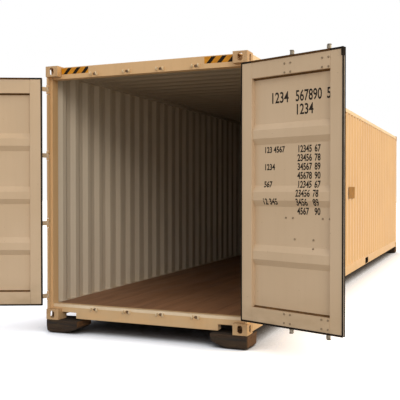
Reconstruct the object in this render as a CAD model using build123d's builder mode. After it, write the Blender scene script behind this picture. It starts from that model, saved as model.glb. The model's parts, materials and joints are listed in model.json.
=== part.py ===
import os
from math import cos, radians, sin

from build123d import *

# Shipping container, 40 ft long and extra high, standing on four timber blocks.
# X runs across it, Y along it with the doors at the -Y end, and Z up from the ground.
# Heights named here count from the underside of the corner castings.

# Overall size and the timber blocks it stands on
length = 12192.0
width = 2438.0
height = 2896.0
block_height = 150.0
block_length = 420.0
block_depth = 320.0
block_overhang = 4.0
block_chamfer = 8.0

# Corner castings and their apertures
casting_length = 178.0
casting_width = 162.0
casting_height = 118.0
casting_side_wall = 12.0
casting_plate = 16.0
casting_fillet = 6.0
lift_slot_length = 124.0
lift_slot_width = 63.5
lift_slot_from_end = 103.5
lift_slot_from_side = 89.5
side_slot_height = 80.0
side_slot_width = 51.0
end_slot_height = 84.0
end_slot_width = 56.0

# How far posts, rails and sheets lie behind the faces of the castings
side_recess = 6.0
end_recess = 8.0
top_recess = 10.0
base_recess = 15.0

# Corner posts
post_wall = 6.0
post_front_recess = 45.0
post_step_recess = 68.0
post_step_width = 23.0
post_nose_recess = 12.0
post_nose_gap = 2.5
post_width = 43.0
end_post_width = 103.0
end_post_lining = 48.0

# Door header and sill
beam_recess = 80.0
beam_wall = 5.0
header_drop = 23.0
sill_notch_width = 190.0
sill_notch_height = 67.0

# Rails along the sides and across the closed end
top_rail_size = 60.0
top_rail_wall = 3.0
bottom_rail_top = 175.0
bottom_rail_flange = 48.0
bottom_rail_wall = 5.0
end_rail_depth = 60.0
end_rail_wall = 5.0

# Corrugated sheets
sheet = 2.0
wall_pitch = 278.0
wall_depth = 34.0
wall_crest = 72.0
wall_slope = 68.0
wall_inset = 1.0
roof_pitch = 270.0
roof_depth = 18.0
roof_crest = 110.0
roof_slope = 40.0
roof_inset = 2.0
end_wall_inset = 2.0

# Floor, its cross members and the fork pockets
deck_thickness = 28.0
member_pitch = 305.0
member_flange = 45.0
member_wall = 4.0
pocket_width = 360.0
pocket_wall = 3.5
pocket_spacing = 2700.0

# Plate on the right side wall
plate_length = 560.0
plate_height = 205.0
plate_thickness = 3.0
plate_centre_y = -320.0
plate_centre_height = 1440.0

# Doors: the leaf, its frame, its pressed panel and its gasket.
# The leaf closes a step behind the header's face, and its ridges stand at shares of the panel's height.
leaf_step = 20.0
leaf_thickness = 50.0
leaf_gap = 10.0
leaf_half_gap = 8.0
stile_width = 130.0
leaf_top_rail = 170.0
leaf_bottom_rail = 150.0
leaf_tube_wall = 4.0
ridge_depth = 36.0
ridge_flat = 82.0
ridge_slope = 60.0
ridge_places = (0.2305, 0.4875, 0.755)
gasket_thickness = 4.0
gasket_lip = 8.0
gasket_proud = 3.0
gasket_start = 6.0
left_door_angle = 155.0
right_door_angle = 160.0

# Hinges
pin_inset = 15.0
pin_recess = 15.0
pin_radius = 7.0
pin_head = 3.0
pin_clearance = 0.3
barrel_radius = 13.0
knuckle_height = 50.0
knuckle_clearance = 1.5
lug_height = 24.0
blade_thickness = 8.0
blade_inset = 35.0
blade_plate_length = 75.0
hinges_from_leaf_base = (90.0, 925.0)
hinges_from_leaf_top = (865.0, 110.0)

# Locking bars with their cams, handles, guides and keepers
outer_bar_inset = 541.0
inner_bar_inset = 196.0
bar_radius = 17.0
bar_clearance = 5.0
bar_overrun = 66.0
cam_reach = 22.0
cam_width = 20.0
cam_height = 30.0
cam_end_gap = 8.0
handle_heights = {"outer": 1330.0, "inner": 1180.0}
handle_tip_gap = 45.0
handle_thickness = 12.0
handle_height = 30.0
hub_wall = 5.0
hub_height = 64.0
guide_clearance = 0.5
guide_wall = 6.0
guide_height = 46.0
guide_foot_width = 112.0
guide_foot_thickness = 6.0
guides_from_leaf_base = (95.0, 830.0)
guides_from_leaf_top = (1005.0, 95.0)
rest_width = 46.0
rest_thickness = 6.0
rest_gap = 6.0
rest_lip = 12.0
rest_height = 50.0
keeper_half_gap = 31.0
keeper_thickness = 11.0
keeper_reach = 42.0
keeper_height = 37.0
keeper_nose = 12.0
keeper_inset = 17.0
sill_keeper_drop = 15.0

# Planes and faces worked out from the sizes above
base = block_height
top = base + height
front = -length / 2
back = length / 2
side_face = width / 2 - side_recess
post_inner = side_face - post_width
casting_inner = width / 2 - casting_width
lower_casting_top = base + casting_height
upper_casting_base = top - casting_height
rail_top = top - top_recess
rail_base = rail_top - top_rail_size
rail_inner = side_face - top_rail_size
floor_rail_base = base + base_recess
floor_rail_top = base + bottom_rail_top
floor_rail_inner = side_face - bottom_rail_flange
header_base = upper_casting_base - header_drop
deck_top = floor_rail_top - bottom_rail_wall
deck_base = deck_top - deck_thickness
member_base = floor_rail_base + bottom_rail_wall
casting_rear = front + casting_length
far_casting_rear = back - casting_length
end_rail_face = back - end_recess
end_rail_inner = end_rail_face - end_rail_depth
end_post_inner = side_face - end_post_lining
end_post_edge = side_face - end_post_width
pin_x = width / 2 - pin_inset
pin_y = front + pin_recess
leaf_start = pin_x - post_inner + leaf_gap
leaf_end = pin_x - leaf_half_gap
leaf_outer = beam_recess + leaf_step - pin_recess
leaf_inner = leaf_outer + leaf_thickness
leaf_base = deck_top + leaf_gap
leaf_top = header_base - leaf_gap
hinge_levels = [leaf_base + rise for rise in hinges_from_leaf_base]
hinge_levels += [leaf_top - drop for drop in hinges_from_leaf_top]
blade_start = leaf_start + blade_inset
bar_positions = {"outer": leaf_start + outer_bar_inset, "inner": leaf_end - inner_bar_inset}
bar_standoff = leaf_step + bar_clearance + bar_radius
bar_depth = leaf_outer - bar_standoff
handle_length = bar_positions["inner"] - bar_positions["outer"] - handle_tip_gap
guide_radius = bar_radius + guide_wall
guide_levels = [leaf_base + rise for rise in guides_from_leaf_base]
guide_levels += [leaf_top - drop for drop in guides_from_leaf_top]
rest_reach = bar_standoff + handle_thickness / 2 + rest_lip
header_face = front + beam_recess
pocket_centres = (-pocket_spacing / 2, pocket_spacing / 2)
door_angles = {-1: left_door_angle, 1: right_door_angle}
side_names = {-1: "left", 1: "right"}


def prism(plane, points, amount, mode=Mode.ADD):
    """A closed outline on a plane, raised by an amount."""
    with BuildSketch(plane) as outline:
        with BuildLine():
            Polyline(*points, close=True)
        make_face()
    extrude(outline.sketch, amount=amount, mode=mode)


def block(low, high, mode=Mode.ADD):
    """A rectangular block between its lowest and highest corners."""
    with BuildSketch(Plane.XY.offset(low[2])) as face:
        with Locations(((low[0] + high[0]) / 2, (low[1] + high[1]) / 2)):
            Rectangle(high[0] - low[0], high[1] - low[1])
    extrude(face.sketch, amount=high[2] - low[2], mode=mode)


def mirrored_block(side, low, high, mode=Mode.ADD):
    """A block given for the right side, or its mirror image on the left one."""
    xs = sorted((side * low[0], side * high[0]))
    block((xs[0], low[1], low[2]), (xs[1], high[1], high[2]), mode)


def wave(span, pitch, crest, slope, depth):
    """Points of a pressed sheet's outer face: distance along it and depth behind its crests."""
    count = max(1, round(span / pitch))
    step = span / count
    points = [(0.0, 0.0)]
    for i in range(count):
        start = i * step
        points.append((start + crest / 2, 0.0))
        points.append((start + crest / 2 + slope, depth))
        points.append((start + step - crest / 2 - slope, depth))
        points.append((start + step - crest / 2, 0.0))
    points.append((span, 0.0))
    return points


def sheet_outline(points):
    """Closes a sheet's outer face with the same line one sheet thickness behind it."""
    return points + [(along, depth + sheet) for along, depth in reversed(points)]


def save(name, part):
    """Labels a finished piece and writes it as a node of its own."""
    part.label = name
    export_step(part, f"parts/{name}.step")


os.makedirs("parts", exist_ok=True)

# Timber blocks: one short sleeper under each corner casting
with BuildPart() as timber_blocks:
    for side in (-1, 1):
        for end in (-1, 1):
            outer_x = width / 2 + block_overhang
            ys = sorted((end * length / 2, end * (length / 2 - block_depth)))
            mirrored_block(side, (outer_x - block_length, ys[0], 0), (outer_x, ys[1], base))
    chamfer(timber_blocks.edges().filter_by(Axis.Z), length=block_chamfer)
save("timber_blocks", timber_blocks.part)


# Corner castings: hollow steel blocks with an aperture in the outer end, side and top or bottom
def corner_casting(side, end, upper):
    x_mid = side * (width / 2 - casting_width / 2)
    y_mid = end * (length / 2 - casting_length / 2)
    z_low = upper_casting_base if upper else base
    z_mid = z_low + casting_height / 2
    with BuildPart() as casting:
        with BuildSketch(Plane.XY.offset(z_low)) as outer:
            with Locations((x_mid, y_mid)):
                Rectangle(casting_width, casting_length)
            fillet(outer.vertices(), radius=casting_fillet)
        extrude(amount=casting_height)
        with BuildSketch(Plane.XY.offset(z_low + casting_plate)):
            with Locations((x_mid, y_mid)):
                Rectangle(casting_width - 2 * casting_side_wall, casting_length - 2 * casting_side_wall)
        extrude(amount=casting_height - 2 * casting_plate, mode=Mode.SUBTRACT)
        plate_face = z_low + casting_height if upper else z_low
        inward = -casting_plate if upper else casting_plate
        slot_x = side * (width / 2 - lift_slot_from_side)
        slot_y = end * (length / 2 - lift_slot_from_end)
        with BuildSketch(Plane.XY.offset(plate_face)):
            with Locations((slot_x, slot_y)):
                SlotOverall(lift_slot_length, lift_slot_width, rotation=90)
        extrude(amount=inward, mode=Mode.SUBTRACT)
        with BuildSketch(Plane(origin=(side * width / 2, y_mid, z_mid), x_dir=(0, 1, 0), z_dir=(1, 0, 0))):
            SlotOverall(side_slot_height, side_slot_width, rotation=90)
        extrude(amount=-side * casting_side_wall, mode=Mode.SUBTRACT)
        with BuildSketch(Plane(origin=(x_mid, end * length / 2, z_mid), x_dir=(1, 0, 0), z_dir=(0, -1, 0))):
            SlotOverall(end_slot_height, end_slot_width, rotation=90)
        extrude(amount=end * casting_side_wall, mode=Mode.SUBTRACT)
    return casting.part


for end, end_name in ((-1, "door"), (1, "end")):
    for upper, level in ((False, "bottom"), (True, "top")):
        with BuildPart() as castings:
            add(corner_casting(-1, end, upper))
            add(corner_casting(1, end, upper))
        save(f"castings_{end_name}_{level}", castings.part)

# Door posts: a stepped hollow section that the closed door leaf lies behind,
# with a nose bar along its outer edge between the hinges
hinge_half = knuckle_height / 2 + knuckle_clearance + lug_height + pin_head
nose_ends = [lower_casting_top]
for hinge_z in hinge_levels:
    nose_ends += [hinge_z - hinge_half - post_nose_gap, hinge_z + hinge_half + post_nose_gap]
nose_ends.append(upper_casting_base)
for side, side_name in side_names.items():
    step_x = side_face - post_step_width
    section = [
        (side * side_face, front + post_front_recess),
        (side * side_face, casting_rear),
        (side * post_inner, casting_rear),
        (side * post_inner, front + post_step_recess),
        (side * step_x, front + post_step_recess),
        (side * step_x, front + post_front_recess),
    ]
    with BuildPart() as door_post:
        with BuildSketch(Plane.XY.offset(lower_casting_top)):
            with BuildLine():
                Polyline(*section, close=True)
            make_face()
            offset(amount=-post_wall, kind=Kind.INTERSECTION, mode=Mode.SUBTRACT)
        extrude(amount=upper_casting_base - lower_casting_top)
        for low_z, high_z in zip(nose_ends[::2], nose_ends[1::2]):
            mirrored_block(
                side,
                (step_x, front + post_nose_recess, low_z),
                (side_face, front + post_front_recess, high_z),
            )
    save(f"door_post_{side_name}", door_post.part)

# End posts: a hollow corner section that the side wall and the end wall run up to
for side, side_name in side_names.items():
    section = [
        (side * side_face, end_rail_face),
        (side * side_face, far_casting_rear),
        (side * end_post_inner, far_casting_rear),
        (side * end_post_inner, end_rail_inner),
        (side * end_post_edge, end_rail_inner),
        (side * end_post_edge, end_rail_face),
    ]
    with BuildPart() as end_post:
        with BuildSketch(Plane.XY.offset(lower_casting_top)):
            with BuildLine():
                Polyline(*section, close=True)
            make_face()
            offset(amount=-post_wall, kind=Kind.INTERSECTION, mode=Mode.SUBTRACT)
        extrude(amount=upper_casting_base - lower_casting_top)
    save(f"end_post_{side_name}", end_post.part)

# Door header: a hollow beam between the top castings, wider below them where it meets the posts
with BuildPart() as door_header:
    block((-casting_inner, header_face, header_base), (casting_inner, casting_rear, rail_top))
    block((-post_inner, header_face, header_base), (post_inner, casting_rear, upper_casting_base))
    block(
        (-casting_inner, header_face + beam_wall, header_base + beam_wall),
        (casting_inner, casting_rear - beam_wall, rail_top - beam_wall),
        Mode.SUBTRACT,
    )
save("door_header", door_header.part)

# Door sill: a hollow beam between the bottom castings, notched beside them on its underside
with BuildPart() as door_sill:
    notch_x = casting_inner - sill_notch_width
    block((-casting_inner, header_face, floor_rail_base), (casting_inner, casting_rear, deck_top))
    block((-post_inner, header_face, lower_casting_top), (post_inner, casting_rear, deck_top))
    block(
        (-notch_x + beam_wall, header_face + beam_wall, floor_rail_base + beam_wall),
        (notch_x - beam_wall, casting_rear - beam_wall, deck_top - beam_wall),
        Mode.SUBTRACT,
    )
    for side in (-1, 1):
        mirrored_block(
            side,
            (notch_x, header_face, floor_rail_base),
            (casting_inner, casting_rear, floor_rail_base + sill_notch_height),
            Mode.SUBTRACT,
        )
save("door_sill", door_sill.part)


# Keepers: two cheeks each side of every locking bar's end, on the header and on the sill
def keeper_cheeks(low_z):
    high_z = low_z + keeper_height
    nose_y = header_face - keeper_reach
    outline = [
        (header_face, low_z),
        (header_face, high_z),
        (nose_y + keeper_nose, high_z),
        (nose_y, high_z - keeper_nose),
        (nose_y, low_z + keeper_nose),
        (nose_y + keeper_nose, low_z),
    ]
    with BuildPart() as cheeks:
        for side in (-1, 1):
            for along in bar_positions.values():
                for cheek in (-1, 1):
                    inner_x = side * (pin_x - along) + cheek * keeper_half_gap
                    cheek_x = min(inner_x, inner_x + cheek * keeper_thickness)
                    prism(Plane.YZ.offset(cheek_x), outline, keeper_thickness)
    return cheeks.part


save("header_keepers", keeper_cheeks(header_base + keeper_inset))
save("sill_keepers", keeper_cheeks(deck_top - sill_keeper_drop - keeper_height))

# Hinge lugs: a pair welded to the door post for every hinge, with the pin between them
for side, side_name in side_names.items():
    knuckle_half = knuckle_height / 2 + knuckle_clearance
    with BuildPart() as hinge_lugs:
        for hinge_z in hinge_levels:
            for low_z in (hinge_z - knuckle_half - lug_height, hinge_z + knuckle_half):
                with BuildSketch(Plane.XY.offset(low_z)):
                    with Locations((side * pin_x, pin_y)):
                        Circle(barrel_radius)
                    root_depth = post_front_recess - pin_recess
                    root_width = side_face - (pin_x - barrel_radius)
                    with Locations((side * (side_face - root_width / 2), pin_y + root_depth / 2)):
                        Rectangle(root_width, root_depth)
                extrude(amount=lug_height)
            with BuildSketch(Plane.XY.offset(hinge_z - hinge_half)):
                with Locations((side * pin_x, pin_y)):
                    Circle(pin_radius)
            extrude(amount=2 * hinge_half)
    save(f"hinge_lugs_{side_name}", hinge_lugs.part)

# Rail across the top of the closed end, between the castings
with BuildPart() as end_top_rail:
    block((-casting_inner, end_rail_inner, upper_casting_base), (casting_inner, end_rail_face, rail_top))
    block(
        (-casting_inner, end_rail_inner + end_rail_wall, upper_casting_base + end_rail_wall),
        (casting_inner, end_rail_face - end_rail_wall, rail_top - end_rail_wall),
        Mode.SUBTRACT,
    )
save("end_top_rail", end_top_rail.part)

# Rail across the bottom of the closed end, wider above the castings
with BuildPart() as end_bottom_rail:
    block((-casting_inner, end_rail_inner, floor_rail_base), (casting_inner, end_rail_face, floor_rail_top))
    block((-end_post_edge, end_rail_inner, lower_casting_top), (end_post_edge, end_rail_face, floor_rail_top))
    block(
        (-casting_inner, end_rail_inner + end_rail_wall, floor_rail_base + end_rail_wall),
        (casting_inner, end_rail_face - end_rail_wall, floor_rail_top - end_rail_wall),
        Mode.SUBTRACT,
    )
save("end_bottom_rail", end_bottom_rail.part)

# Top side rails: square tube from casting to casting
for side, side_name in side_names.items():
    with BuildPart() as top_rail:
        mirrored_block(side, (rail_inner, casting_rear, rail_base), (side_face, far_casting_rear, rail_top))
        mirrored_block(
            side,
            (rail_inner + top_rail_wall, casting_rear, rail_base + top_rail_wall),
            (side_face - top_rail_wall, far_casting_rear, rail_top - top_rail_wall),
            Mode.SUBTRACT,
        )
    save(f"top_rail_{side_name}", top_rail.part)

# Bottom side rails: channels open to the inside, with the fork pockets cut through their webs
pocket_low = member_base + pocket_wall
pocket_high = deck_base - pocket_wall
for side, side_name in side_names.items():
    with BuildPart() as bottom_rail:
        mirrored_block(
            side, (floor_rail_inner, casting_rear, floor_rail_base), (side_face, far_casting_rear, floor_rail_top)
        )
        mirrored_block(
            side,
            (floor_rail_inner, casting_rear, member_base),
            (side_face - bottom_rail_wall, far_casting_rear, deck_top),
            Mode.SUBTRACT,
        )
        for centre in pocket_centres:
            mirrored_block(
                side,
                (side_face - bottom_rail_wall, centre - pocket_width / 2, pocket_low),
                (side_face, centre + pocket_width / 2, pocket_high),
                Mode.SUBTRACT,
            )
    save(f"bottom_rail_{side_name}", bottom_rail.part)

# Side walls: pressed sheet with upright corrugations between the posts
wall_face = side_face - wall_inset
for side, side_name in side_names.items():
    profile = wave(far_casting_rear - casting_rear, wall_pitch, wall_crest, wall_slope, wall_depth)
    outline = [(side * (wall_face - depth), casting_rear + along) for along, depth in sheet_outline(profile)]
    with BuildPart() as side_wall:
        prism(Plane.XY.offset(floor_rail_top), outline, rail_base - floor_rail_top)
    save(f"side_wall_{side_name}", side_wall.part)

# End wall: pressed sheet with upright corrugations between the end posts
with BuildPart() as end_wall:
    profile = wave(2 * end_post_edge, wall_pitch, wall_crest, wall_slope, wall_depth)
    sheet_face = end_rail_face - end_wall_inset
    outline = [(along - end_post_edge, sheet_face - depth) for along, depth in sheet_outline(profile)]
    prism(Plane.XY.offset(floor_rail_top), outline, upper_casting_base - floor_rail_top)
save("end_wall", end_wall.part)

# Roof: pressed sheet with corrugations across, between the top rails
with BuildPart() as roof_panel:
    profile = wave(end_rail_inner - casting_rear, roof_pitch, roof_crest, roof_slope, roof_depth)
    roof_face = rail_top - roof_inset
    outline = [(casting_rear + along, roof_face - depth) for along, depth in sheet_outline(profile)]
    prism(Plane.YZ.offset(-rail_inner), outline, 2 * rail_inner)
    for side in (-1, 1):
        mirrored_block(
            side, (casting_inner, far_casting_rear, upper_casting_base), (rail_inner, back, top), Mode.SUBTRACT
        )
save("roof_panel", roof_panel.part)

# Floor deck on its cross members
with BuildPart() as floor_deck:
    block((-floor_rail_inner, casting_rear, deck_base), (floor_rail_inner, end_rail_inner, deck_top))
save("floor_deck", floor_deck.part)

# Cross members: channels between the bottom side rails, left out where the fork pockets run
with BuildPart() as cross_members:
    run = far_casting_rear - casting_rear
    bay_count = max(2, round(run / member_pitch))
    half_flange = member_flange / 2
    web_x = side_face - bottom_rail_wall
    keep_out = pocket_width / 2 + pocket_wall + member_flange
    for i in range(1, bay_count):
        member_y = casting_rear + i * run / bay_count
        if min(abs(member_y - centre) for centre in pocket_centres) > keep_out:
            section = [
                (member_y - half_flange, member_base),
                (member_y + half_flange, member_base),
                (member_y + half_flange, member_base + member_wall),
                (member_y - half_flange + member_wall, member_base + member_wall),
                (member_y - half_flange + member_wall, deck_base - member_wall),
                (member_y + half_flange, deck_base - member_wall),
                (member_y + half_flange, deck_base),
                (member_y - half_flange, deck_base),
            ]
            prism(Plane.YZ.offset(-web_x), section, 2 * web_x)
save("cross_members", cross_members.part)

# Fork pockets: a rectangular tube across the floor frame at each opening in the bottom rails
with BuildPart() as fork_pockets:
    web_x = side_face - bottom_rail_wall
    for centre in pocket_centres:
        half = pocket_width / 2
        block(
            (-web_x, centre - half - pocket_wall, member_base),
            (web_x, centre + half + pocket_wall, deck_base),
        )
        block((-web_x, centre - half, pocket_low), (web_x, centre + half, pocket_high), Mode.SUBTRACT)
save("fork_pockets", fork_pockets.part)

# Bare plate on the crests of the right side wall
with BuildPart() as side_plate:
    plate_z = base + plate_centre_height
    block(
        (wall_face, plate_centre_y - plate_length / 2, plate_z - plate_height / 2),
        (wall_face + plate_thickness, plate_centre_y + plate_length / 2, plate_z + plate_height / 2),
    )
save("side_plate", side_plate.part)


# Doors. A door's own plane has its origin on the hinge pin and is turned to the pose in the photo.
# On it, along runs from the pin towards the free edge, and depth from the front of the pin inwards.
def door_plane(side):
    turn = radians(side * door_angles[side])
    return Plane(origin=(side * pin_x, pin_y, 0), x_dir=(cos(turn), sin(turn), 0), z_dir=(0, 0, 1))


def leaf_block(side, along, depth, level, mode=Mode.ADD):
    """A block on a door, between two values along it, in depth and in height."""
    with BuildSketch(door_plane(side).offset(level[0])) as face:
        with Locations((-side * (along[0] + along[1]) / 2, (depth[0] + depth[1]) / 2)):
            Rectangle(along[1] - along[0], depth[1] - depth[0])
    extrude(face.sketch, amount=level[1] - level[0], mode=mode)


def leaf_section_plane(side, along_from, along_to):
    """The upright plane across a door where a section starts that runs along the leaf."""
    frame = door_plane(side)
    start = min(-side * along_from, -side * along_to)
    return Plane(origin=frame.from_local_coords((start, 0, 0)), x_dir=frame.y_dir, z_dir=frame.x_dir)


panel_base = leaf_base + leaf_bottom_rail
panel_top = leaf_top - leaf_top_rail
panel_along = (leaf_start + stile_width, leaf_end - stile_width)

for side, side_name in side_names.items():
    # Stiles: the two upright tubes of the leaf's frame
    with BuildPart() as door_stiles:
        for along in ((leaf_start, panel_along[0]), (panel_along[1], leaf_end)):
            hollow = (along[0] + leaf_tube_wall, along[1] - leaf_tube_wall)
            leaf_block(side, along, (leaf_outer, leaf_inner), (leaf_base, leaf_top))
            leaf_block(
                side,
                hollow,
                (leaf_outer + leaf_tube_wall, leaf_inner - leaf_tube_wall),
                (leaf_base, leaf_top),
                Mode.SUBTRACT,
            )
    save(f"door_stiles_{side_name}", door_stiles.part)

    # Rails: the level tubes at the top and the bottom of the leaf's frame
    with BuildPart() as door_rails:
        for level in ((leaf_base, panel_base), (panel_top, leaf_top)):
            hollow = (level[0] + leaf_tube_wall, level[1] - leaf_tube_wall)
            leaf_block(side, panel_along, (leaf_outer, leaf_inner), level)
            leaf_block(
                side,
                panel_along,
                (leaf_outer + leaf_tube_wall, leaf_inner - leaf_tube_wall),
                hollow,
                Mode.SUBTRACT,
            )
    save(f"door_rails_{side_name}", door_rails.part)

    # Panel: pressed sheet flush with the frame's outer face, with level ridges standing inwards
    with BuildPart() as door_panel:
        profile = [(0.0, panel_base)]
        for place in ridge_places:
            ridge_z = panel_base + place * (panel_top - panel_base)
            profile.append((0.0, ridge_z - ridge_flat / 2 - ridge_slope))
            profile.append((ridge_depth, ridge_z - ridge_flat / 2))
            profile.append((ridge_depth, ridge_z + ridge_flat / 2))
            profile.append((0.0, ridge_z + ridge_flat / 2 + ridge_slope))
        profile.append((0.0, panel_top))
        outline = [(leaf_outer + depth, level) for depth, level in profile]
        outline += [(leaf_outer + depth + sheet, level) for depth, level in reversed(profile)]
        prism(leaf_section_plane(side, *panel_along), outline, panel_along[1] - panel_along[0])
    save(f"door_panel_{side_name}", door_panel.part)

    # Gasket: a rubber strip round the leaf's edge with a lip on its inner face
    with BuildPart() as door_gasket:
        edge = gasket_thickness
        leaf_block(
            side,
            (leaf_start - edge, leaf_end + edge),
            (leaf_outer + gasket_start, leaf_inner + gasket_proud),
            (leaf_base - edge, leaf_top + edge),
        )
        leaf_block(
            side,
            (leaf_start, leaf_end),
            (leaf_outer + gasket_start, leaf_inner),
            (leaf_base, leaf_top),
            Mode.SUBTRACT,
        )
        leaf_block(
            side,
            (leaf_start + gasket_lip, leaf_end - gasket_lip),
            (leaf_inner, leaf_inner + gasket_proud),
            (leaf_base + gasket_lip, leaf_top - gasket_lip),
            Mode.SUBTRACT,
        )
    save(f"door_gasket_{side_name}", door_gasket.part)

    # Hinge blades: a knuckle on the pin, a slanted arm and a plate flat on the stile
    with BuildPart() as hinge_blades:
        blade_end = blade_start + blade_plate_length
        plate_depth = leaf_outer - blade_thickness
        for hinge_z in hinge_levels:
            with BuildSketch(door_plane(side).offset(hinge_z - knuckle_height / 2)):
                Circle(barrel_radius)
                with BuildLine():
                    Polyline(
                        (-side * (blade_start - blade_thickness), leaf_outer),
                        (-side * blade_end, leaf_outer),
                        (-side * blade_end, plate_depth),
                        (-side * blade_start, plate_depth),
                        (-side * blade_thickness / 2, -blade_thickness / 2),
                        (side * blade_thickness / 2, blade_thickness / 2),
                        close=True,
                    )
                make_face()
                Circle(pin_radius + pin_clearance, mode=Mode.SUBTRACT)
            extrude(amount=knuckle_height)
    save(f"hinge_blades_{side_name}", hinge_blades.part)

    # Guides: a bearing with a foot on the leaf at several heights of every locking bar,
    # and a small shelf below the end of each handle
    with BuildPart() as bar_guides:
        for bar_name, along in bar_positions.items():
            for guide_z in guide_levels:
                with BuildSketch(door_plane(side).offset(guide_z - guide_height / 2)):
                    with Locations((-side * along, bar_depth)):
                        Circle(guide_radius)
                    with Locations((-side * along, bar_depth + bar_standoff / 2)):
                        Rectangle(2 * guide_radius, bar_standoff)
                    with Locations((-side * along, leaf_outer - guide_foot_thickness / 2)):
                        Rectangle(guide_foot_width, guide_foot_thickness)
                    with Locations((-side * along, bar_depth)):
                        Circle(bar_radius + guide_clearance, mode=Mode.SUBTRACT)
                extrude(amount=guide_height)
            towards = 1 if bar_name == "outer" else -1
            tip = along + towards * handle_length
            span = sorted((tip, tip - towards * rest_width))
            shelf_top = base + handle_heights[bar_name] - handle_height / 2 - rest_gap
            leaf_block(
                side, span, (leaf_outer - rest_reach, leaf_outer), (shelf_top - rest_thickness, shelf_top)
            )
            leaf_block(
                side, span, (leaf_outer - rest_thickness, leaf_outer), (shelf_top - rest_height, shelf_top)
            )
    save(f"bar_guides_{side_name}", bar_guides.part)

    # Locking bars: a round bar with a cam at each end and a handle at working height
    for bar_name, along in bar_positions.items():
        towards = 1 if bar_name == "outer" else -1
        bar_x = -side * along
        reach_x = -side * towards
        with BuildPart() as lock_bar:
            with BuildSketch(door_plane(side).offset(leaf_base - bar_overrun)):
                with Locations((bar_x, bar_depth)):
                    Circle(bar_radius)
            extrude(amount=leaf_top - leaf_base + 2 * bar_overrun)
            lower_cam = leaf_base - bar_overrun + cam_end_gap
            upper_cam = leaf_top + bar_overrun - cam_end_gap - cam_height
            for cam_z in (lower_cam, upper_cam):
                with BuildSketch(door_plane(side).offset(cam_z)):
                    with Locations((bar_x + reach_x * cam_reach / 2, bar_depth)):
                        Rectangle(cam_reach, cam_width)
                extrude(amount=cam_height)
            grip_z = base + handle_heights[bar_name]
            with BuildSketch(door_plane(side).offset(grip_z - hub_height / 2)):
                with Locations((bar_x, bar_depth)):
                    Circle(bar_radius + hub_wall)
            extrude(amount=hub_height)
            with BuildSketch(door_plane(side).offset(grip_z - handle_height / 2)):
                with Locations((bar_x + reach_x * handle_length / 2, bar_depth)):
                    Rectangle(handle_length, handle_thickness)
            extrude(amount=handle_height)
        save(f"lock_bar_{side_name}_{bar_name}", lock_bar.part)
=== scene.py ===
import json
import math

import bmesh
import bpy
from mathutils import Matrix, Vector, noise
from mathutils.bvhtree import BVHTree


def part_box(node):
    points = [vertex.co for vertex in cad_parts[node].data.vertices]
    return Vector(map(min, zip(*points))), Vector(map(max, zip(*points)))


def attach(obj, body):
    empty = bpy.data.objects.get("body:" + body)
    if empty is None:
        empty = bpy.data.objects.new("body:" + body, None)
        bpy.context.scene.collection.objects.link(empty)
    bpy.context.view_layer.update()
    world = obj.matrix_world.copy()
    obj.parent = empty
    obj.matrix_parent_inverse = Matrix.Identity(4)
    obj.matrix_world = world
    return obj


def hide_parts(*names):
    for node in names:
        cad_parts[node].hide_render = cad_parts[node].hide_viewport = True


# Freight container with both doors open, on four timber blocks. Metres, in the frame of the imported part.
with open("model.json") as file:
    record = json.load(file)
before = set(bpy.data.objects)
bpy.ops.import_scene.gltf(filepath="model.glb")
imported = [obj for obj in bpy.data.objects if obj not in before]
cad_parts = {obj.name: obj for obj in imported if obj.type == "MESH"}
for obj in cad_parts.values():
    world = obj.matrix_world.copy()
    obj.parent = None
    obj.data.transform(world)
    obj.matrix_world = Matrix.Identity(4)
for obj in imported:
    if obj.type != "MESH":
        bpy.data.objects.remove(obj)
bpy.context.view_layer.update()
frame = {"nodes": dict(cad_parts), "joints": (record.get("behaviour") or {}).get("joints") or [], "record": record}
print("frame loaded:", len(frame["nodes"]), "nodes")

sideNames = {-1: "left", 1: "right"}
barNames = ("outer", "inner")
joints = {joint["name"]: joint for joint in frame["joints"]}


# Colours and nodes

def linearColour(code):  # sRGB hex to linear, with alpha
    parts = [int(code[i:i + 2], 16) / 255 for i in (1, 3, 5)]
    return [p / 12.92 if p <= 0.04045 else ((p + 0.055) / 1.055) ** 2.4 for p in parts] + [1.0]


def addNode(tree, kind, inputs=None, **settings):  # one node with its settings, values and links
    node = tree.nodes.new("ShaderNode" + kind)
    for name, value in settings.items():
        setattr(node, name, value)
    for name, value in (inputs or {}).items():
        if isinstance(value, bpy.types.Node):  # a node stands for its first output in use
            value = next(output for output in value.outputs if output.enabled)
        if isinstance(value, bpy.types.NodeSocket):
            tree.links.new(value, node.inputs[name])
        else:
            node.inputs[name].default_value = value
    return node


def newMaterial(name):  # an empty tree, and the coordinates that its patterns follow
    material = bpy.data.materials.new(name)
    material.use_nodes = True
    material.node_tree.nodes.clear()
    return material, material.node_tree, addNode(material.node_tree, "TexCoord")


def closeMaterial(material, inputs):  # ends a material with its surface shader
    shader = addNode(material.node_tree, "BsdfPrincipled", inputs)
    addNode(material.node_tree, "OutputMaterial", {"Surface": shader})
    return material


spreads = {  # where patches start and are full in the noise, and its detail: close limits, hard edges
    "soft": (0.35, 0.65, 3.0), "smooth": (0.20, 0.80, 1.0), "settled": (0.30, 0.70, 3.0),
    "streaked": (0.48, 0.80, 4.0), "stained": (0.56, 0.78, 4.0), "scuffed": (0.35, 0.70, 4.0),
    "grained": (0.30, 0.70, 5.0), "fibrous": (0.30, 0.70, 4.0), "dried": (0.50, 0.75, 4.0),
    "chalky": (0.45, 0.80, 4.0),
}


def patchy(tree, place, size, spread, most=1.0):  # patches of that size, one number or three, from 0 to most
    sizes = size if isinstance(size, tuple) else (size,) * 3
    low, high, detail = spread
    stretch = addNode(tree, "Mapping", {"Vector": place, "Scale": [1 / s for s in sizes]})
    grain = addNode(tree, "TexNoise", {"Vector": stretch, "Scale": 1.0, "Detail": detail})
    return addNode(tree, "MapRange", {"Value": grain, "From Min": low, "From Max": high, "To Max": most})


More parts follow.
